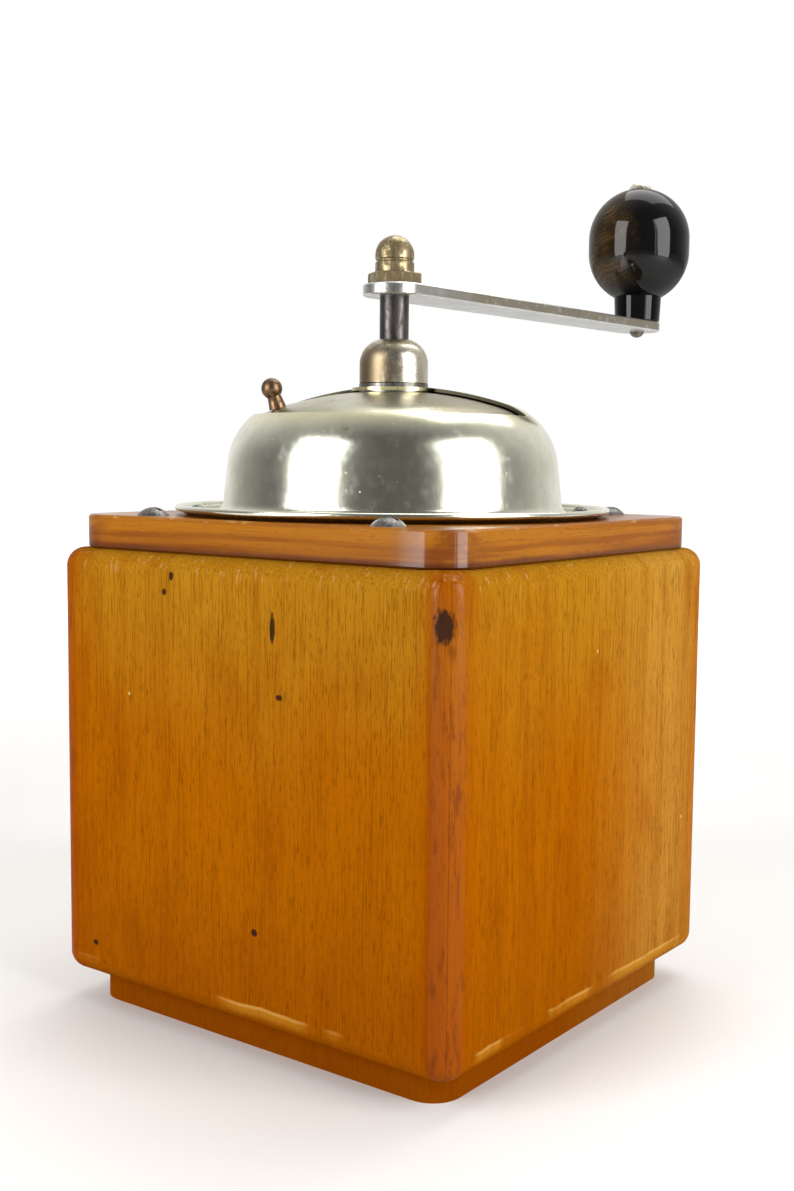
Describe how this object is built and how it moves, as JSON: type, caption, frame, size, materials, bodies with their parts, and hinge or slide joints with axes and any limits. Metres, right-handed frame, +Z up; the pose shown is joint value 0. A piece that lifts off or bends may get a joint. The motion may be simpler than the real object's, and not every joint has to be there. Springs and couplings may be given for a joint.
{
  "type": "hand coffee grinder",
  "caption": "Box-shaped hand coffee grinder: wooden case with a pull-out drawer, domed metal hopper with a turning lid, conical burrs and a top crank with a wooden knob.",
  "frame": {"origin": "on the standing face of the plinth, on the axis of the crank shaft", "axes": "+Z up along the crank shaft, -Y out of the drawer face, +X to the right as seen from the drawer face"},
  "size_m": [0.13, 0.2103, 0.2431],
  "materials": {
    "case_wood": "amber varnish over beech, worn at the edges",
    "board_wood": "darker red-brown varnish",
    "drawer_wood": "bare pale wood",
    "black_wood": "black-brown gloss lacquer",
    "nickel": "old nickel plate, warm and slightly specked",
    "lid_nickel": "duller nickel plate",
    "pin_nickel": "bright nickel plate",
    "dark_steel": "darkened steel",
    "plain_steel": "plain steel",
    "cast_iron": "dark cast iron",
    "brass": "worn brass",
    "dark_brass": "brown tarnished brass"
  },
  "bodies": {
    "housing": {"side_wall_left": "case_wood", "side_wall_right": "case_wood", "back_wall": "case_wood", "front_wall": "case_wood", "top_board": "board_wood", "base_plinth": "case_wood", "board_screws": "dark_steel", "base_screws": "dark_steel", "hopper_dome": "nickel", "flange_screws": "dark_steel", "collar_washer": "plain_steel", "bell_collar": "nickel", "upper_bush": "brass", "lid_washer": "plain_steel", "mill_body": "cast_iron", "mill_screws": "dark_steel", "burr_ring": "plain_steel", "ring_screws": "dark_steel", "lower_bridge": "plain_steel", "bridge_screws": "dark_steel", "lower_bearing": "brass"},
    "lid": {"hopper_lid": "lid_nickel", "lid_knob": "dark_brass"},
    "thrust": {"thrust_ball": "plain_steel"},
    "adjuster": {"adjust_screw": "plain_steel", "adjust_wheel": "brass"},
    "crank": {"drive_shaft": "dark_steel", "burr_cone": "plain_steel", "burr_pin": "dark_steel", "crank_arm": "nickel", "cap_nut": "brass", "knob_pin": "pin_nickel"},
    "knob": {"crank_knob": "black_wood"},
    "drawer": {"drawer_front": "case_wood", "drawer_side_left": "drawer_wood", "drawer_side_right": "drawer_wood", "drawer_back": "drawer_wood", "drawer_bottom": "drawer_wood", "drawer_knob": "black_wood", "drawer_knob_screw": "dark_steel"}
  },
  "joints": [
    {"name": "lid_turn", "type": "hinge", "parent": "housing", "child": "lid", "pos_m": [0, 0, 0.165], "axis": [0, 0, 1], "range_deg": [0, 126]},
    {"name": "grind_lift", "type": "slide", "parent": "housing", "child": "thrust", "axis": [0, 0, 1], "range_m": [-0.00063, 0.00063]},
    {"name": "adjust_turn", "type": "hinge", "parent": "thrust", "child": "adjuster", "pos_m": [0, 0, 0.075], "axis": [0, 0, 1], "range_deg": [-180, 180]},
    {"name": "crank_turn", "type": "hinge", "parent": "thrust", "child": "crank", "pos_m": [0, 0, 0.15], "axis": [0, 0, 1], "continuous": true},
    {"name": "knob_spin", "type": "hinge", "parent": "crank", "child": "knob", "pos_m": [-0.0059, -0.12987, 0.21], "axis": [0, 0, 1], "continuous": true},
    {"name": "drawer_slide", "type": "slide", "parent": "housing", "child": "drawer", "axis": [0, -1, 0], "range_m": [0, 0.114]}
  ],
  "couplings": [
    {"joint": "adjust_turn", "follows": "grind_lift", "rad_per_m": 5026.5}
  ]
}
